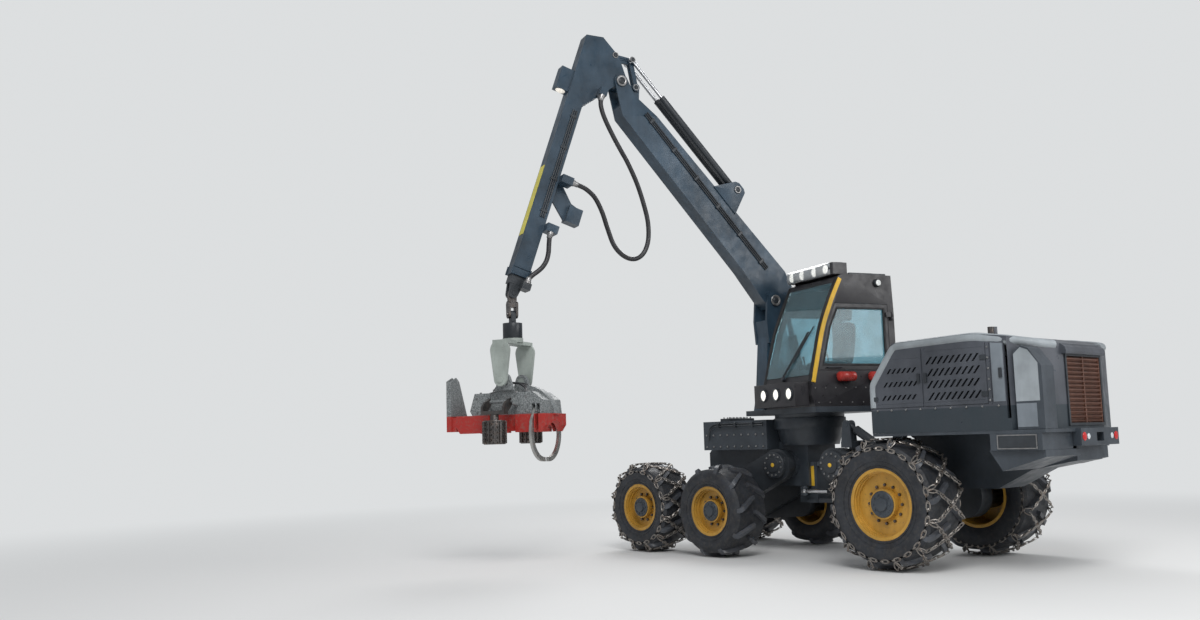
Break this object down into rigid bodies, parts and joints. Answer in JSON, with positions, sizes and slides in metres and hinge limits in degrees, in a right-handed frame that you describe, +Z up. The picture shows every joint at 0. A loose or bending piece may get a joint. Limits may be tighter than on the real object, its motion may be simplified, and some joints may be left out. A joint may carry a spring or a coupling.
{
  "type": "forestry harvester",
  "caption": "Six-wheeled forestry harvester with a jointed frame, slewing cab and crane, and a tilting felling head with curved knives, feed rollers and a saw bar.",
  "frame": {"origin": "on the floor, at the middle of the whole machine as stored, crane and head included", "axes": "+X forward along the frames, +Y to the machine's left, +Z up"},
  "size_m": [7.4008, 6.2188, 7.8845],
  "materials": {
    "frame_paint": "satin, muddy",
    "engine_iron": "matt",
    "hood_paint": "satin",
    "grille_paint": "matt, dusty",
    "dark_paint": "satin",
    "boom_paint": "satin",
    "cab_paint": "satin",
    "cab_glass": "clear, slightly tinted",
    "seat_cloth": "woven",
    "lamp_housing": "gloss with lit lenses",
    "red_plastic": "gloss",
    "rod_chrome": "polished",
    "hose_rubber": "matt",
    "worn_steel": "worn",
    "tilt_paint": "dirty, chipped",
    "head_paint": "worn",
    "knife_steel": "worn bright",
    "tyre_rubber": "matt, muddy, with worn steel chains",
    "rim_paint": "satin, dusty"
  },
  "bodies": {
    "front": {"front_frame": "frame_paint", "front_arms": "frame_paint", "bogies": "frame_paint"},
    "rear": {"rear_frame": "frame_paint", "rear_arms": "frame_paint", "engine_block": "engine_iron", "hood": "hood_paint", "vent_panels": "hood_paint", "rear_grille": "grille_paint", "side_boxes": "dark_paint", "bumper": "dark_paint"},
    "turret": {"turret_base": "frame_paint", "crane_pillar": "boom_paint", "cab_shell": "cab_paint", "cab_glass": "cab_glass", "seat": "seat_cloth", "cab_lamps": "lamp_housing", "red_bottles": "red_plastic"},
    "door": {"cab_door": "cab_paint", "door_glass": "cab_glass"},
    "boom": {"main_boom": "boom_paint"},
    "lift_barrel": {"lift_barrel": "dark_paint"},
    "lift_rod": {"lift_rod": "rod_chrome"},
    "jib_barrels": {"jib_barrels": "dark_paint"},
    "jib_rods": {"jib_rods": "rod_chrome"},
    "rocker": {"rocker": "boom_paint"},
    "link": {"link": "boom_paint"},
    "jib": {"jib": "boom_paint", "hose_loop": "hose_rubber"},
    "extension": {"extension": "dark_paint", "hose_drop": "hose_rubber"},
    "cross_link": {"cross_link": "worn_steel"},
    "rotator": {"rotator": "dark_paint"},
    "tilt_frame": {"tilt_frame": "tilt_paint"},
    "head": {"head_body": "head_paint"},
    "knife_left": {"knife_left": "knife_steel"},
    "knife_right": {"knife_right": "knife_steel"},
    "roller_arm_left": {"roller_arm_left": "worn_steel"},
    "roller_arm_right": {"roller_arm_right": "worn_steel"},
    "feed_roller_left": {"feed_roller_left": "worn_steel"},
    "feed_roller_right": {"feed_roller_right": "worn_steel"},
    "saw": {"saw_bar": "knife_steel"},
    "steer_barrel_left": {"steer_barrel_left": "dark_paint"},
    "steer_rod_left": {"steer_rod_left": "rod_chrome"},
    "wheel_rear_left": {"tyre_rear_left": "tyre_rubber", "rim_rear_left": "rim_paint"},
    "wheel_mid_left": {"tyre_mid_left": "tyre_rubber", "rim_mid_left": "rim_paint"},
    "wheel_front_left": {"tyre_front_left": "tyre_rubber", "rim_front_left": "rim_paint"},
    "steer_barrel_right": {"steer_barrel_right": "dark_paint"},
    "steer_rod_right": {"steer_rod_right": "rod_chrome"},
    "wheel_rear_right": {"tyre_rear_right": "tyre_rubber", "rim_rear_right": "rim_paint"},
    "wheel_mid_right": {"tyre_mid_right": "tyre_rubber", "rim_mid_right": "rim_paint"},
    "wheel_front_right": {"tyre_front_right": "tyre_rubber", "rim_front_right": "rim_paint"}
  },
  "joints": [
    {"name": "steering", "type": "hinge", "parent": "front", "child": "rear", "pos_m": [0.1096, -1.6094, 1.05], "axis": [0, 0, 1], "range_deg": [-38, 38]},
    {"name": "wheel_spin_rear_left", "type": "hinge", "parent": "rear", "child": "wheel_rear_left", "pos_m": [-1.4904, -0.4644, 0.8433], "axis": [0, 1, 0], "continuous": true},
    {"name": "wheel_spin_rear_right", "type": "hinge", "parent": "rear", "child": "wheel_rear_right", "pos_m": [-1.4904, -2.7544, 0.8433], "axis": [0, 1, 0], "continuous": true},
    {"name": "wheel_spin_mid_left", "type": "hinge", "parent": "front", "child": "wheel_mid_left", "pos_m": [1.5096, -0.4444, 0.6725], "axis": [0, 1, 0], "continuous": true},
    {"name": "wheel_spin_mid_right", "type": "hinge", "parent": "front", "child": "wheel_mid_right", "pos_m": [1.5096, -2.7744, 0.6725], "axis": [0, 1, 0], "continuous": true},
    {"name": "wheel_spin_front_left", "type": "hinge", "parent": "front", "child": "wheel_front_left", "pos_m": [3.0096, -0.4444, 0.6908], "axis": [0, 1, 0], "continuous": true},
    {"name": "wheel_spin_front_right", "type": "hinge", "parent": "front", "child": "wheel_front_right", "pos_m": [3.0096, -2.7744, 0.6908], "axis": [0, 1, 0], "continuous": true},
    {"name": "slew", "type": "hinge", "parent": "front", "child": "turret", "pos_m": [0.7096, -1.6094, 2], "axis": [0, 0, 1], "range_deg": [-182, 38]},
    {"name": "cab_door_swing", "type": "hinge", "parent": "turret", "child": "door", "pos_m": [-0.53432, -2.08846, 3.1], "axis": [0, 0, -1], "range_deg": [-60, 0]},
    {"name": "boom_lift", "type": "hinge", "parent": "turret", "child": "boom", "pos_m": [1.47542, -1.67948, 3.87], "axis": [0.9511, -0.309, 0], "range_deg": [-36, 31]},
    {"name": "lift_barrel_swing", "type": "hinge", "parent": "turret", "child": "lift_barrel", "pos_m": [1.2931, -2.24061, 2.45], "axis": [0.9511, -0.309, 0], "range_deg": [-2.11, 2.45]},
    {"name": "lift_rod_slide", "type": "slide", "parent": "lift_barrel", "child": "lift_rod", "axis": [0.0586, 0.1802, 0.9819], "range_m": [-0.1679, 0.195]},
    {"name": "jib_fold", "type": "hinge", "parent": "boom", "child": "jib", "pos_m": [2.25552, 0.72141, 7.20083], "axis": [-0.9511, 0.309, 0], "range_deg": [-95, 20]},
    {"name": "rocker_swing", "type": "hinge", "parent": "boom", "child": "rocker", "pos_m": [2.16586, 0.44546, 7.16006], "axis": [-0.9511, 0.309, 0], "range_deg": [-95, 20]},
    {"name": "link_turn", "type": "hinge", "parent": "rocker", "child": "link", "pos_m": [2.1884, 0.51482, 7.57368], "axis": [-0.9511, 0.309, 0], "range_deg": [-20, 95]},
    {"name": "jib_barrel_swing", "type": "hinge", "parent": "boom", "child": "jib_barrels", "pos_m": [1.65216, -1.13556, 5.62537], "axis": [-0.9511, 0.309, 0], "range_deg": [-6.59, 1.39]},
    {"name": "jib_rod_slide", "type": "slide", "parent": "jib_barrels", "child": "jib_rods", "axis": [0.2055, 0.6326, 0.7467], "range_m": [-0.5901, 0.1242]},
    {"name": "jib_extend", "type": "slide", "parent": "jib", "child": "extension", "axis": [0.1006, 0.3096, -0.9455], "range_m": [0, 1.8]},
    {"name": "link_swing", "type": "hinge", "parent": "extension", "child": "cross_link", "pos_m": [2.80408, 2.4097, 3.8883], "axis": [0.9511, -0.309, 0], "range_deg": [-50, 60]},
    {"name": "link_sway", "type": "hinge", "parent": "cross_link", "child": "rotator", "pos_m": [2.80408, 2.4097, 3.5883], "axis": [0.309, 0.9511, 0], "range_deg": [-30, 30]},
    {"name": "head_turn", "type": "hinge", "parent": "rotator", "child": "tilt_frame", "pos_m": [2.80408, 2.4097, 3.2483], "axis": [0, 0, 1], "continuous": true},
    {"name": "head_tilt", "type": "hinge", "parent": "tilt_frame", "child": "head", "pos_m": [2.80408, 2.4097, 2.6383], "axis": [-0.4226, 0.9063, 0], "range_deg": [0, 95]},
    {"name": "knife_open", "type": "hinge", "parent": "head", "child": "knife_left", "pos_m": [2.43968, 2.00806, 2.1883], "axis": [-0.9063, -0.4226, 0], "range_deg": [0, 55]},
    {"name": "knife_right_open", "type": "hinge", "parent": "head", "child": "knife_right", "pos_m": [2.26218, 2.38871, 2.1883], "axis": [-0.9063, -0.4226, 0], "range_deg": [-55, 0]},
    {"name": "roller_open", "type": "hinge", "parent": "head", "child": "roller_arm_left", "pos_m": [2.96045, 2.07436, 2.3283], "axis": [-0.9063, -0.4226, 0], "range_deg": [0, 30]},
    {"name": "roller_right_open", "type": "hinge", "parent": "head", "child": "roller_arm_right", "pos_m": [2.64771, 2.74503, 2.3283], "axis": [-0.9063, -0.4226, 0], "range_deg": [-30, 0]},
    {"name": "feed_spin_left", "type": "hinge", "parent": "roller_arm_left", "child": "feed_roller_left", "pos_m": [3.05042, 1.92874, 1.9883], "axis": [0, 0, 1], "continuous": true},
    {"name": "feed_spin_right", "type": "hinge", "parent": "roller_arm_right", "child": "feed_roller_right", "pos_m": [2.59399, 2.90756, 1.9883], "axis": [0, 0, 1], "continuous": true},
    {"name": "saw_swing", "type": "hinge", "parent": "head", "child": "saw", "pos_m": [3.47816, 3.0109, 2.0383], "axis": [0.9063, 0.4226, 0], "range_deg": [0, 100]},
    {"name": "steer_barrel_left_swing", "type": "hinge", "parent": "rear", "child": "steer_barrel_left", "pos_m": [-0.5104, -1.2144, 0.93], "axis": [0, 0, 1], "range_deg": [-15.96, 15.96]},
    {"name": "steer_rod_left_slide", "type": "slide", "parent": "steer_barrel_left", "child": "steer_rod_left", "axis": [1, -0.0093, 0], "range_m": [-0.26, 0.26]},
    {"name": "steer_barrel_right_swing", "type": "hinge", "parent": "rear", "child": "steer_barrel_right", "pos_m": [-0.5104, -2.0044, 0.93], "axis": [0, 0, 1], "range_deg": [-15.96, 15.96]},
    {"name": "steer_rod_right_slide", "type": "slide", "parent": "steer_barrel_right", "child": "steer_rod_right", "axis": [1, 0.0093, 0], "range_m": [-0.26, 0.26]}
  ],
  "couplings": [
    {"joint": "lift_barrel_swing", "follows": "boom_lift", "ratio": -0.06679},
    {"joint": "lift_rod_slide", "follows": "boom_lift", "m_per_rad": -0.30425},
    {"joint": "rocker_swing", "follows": "jib_fold", "ratio": 1},
    {"joint": "link_turn", "follows": "jib_fold", "ratio": -1},
    {"joint": "jib_barrel_swing", "follows": "jib_fold", "ratio": 0.06801},
    {"joint": "jib_rod_slide", "follows": "jib_fold", "m_per_rad": 0.34891},
    {"joint": "knife_right_open", "follows": "knife_open", "ratio": -1},
    {"joint": "roller_right_open", "follows": "roller_open", "ratio": -1},
    {"joint": "steer_barrel_left_swing", "follows": "steering", "ratio": -0.41189},
    {"joint": "steer_rod_left_slide", "follows": "steering", "m_per_rad": 0.38439},
    {"joint": "steer_barrel_right_swing", "follows": "steering", "ratio": -0.41189},
    {"joint": "steer_rod_right_slide", "follows": "steering", "m_per_rad": -0.38439}
  ]
}
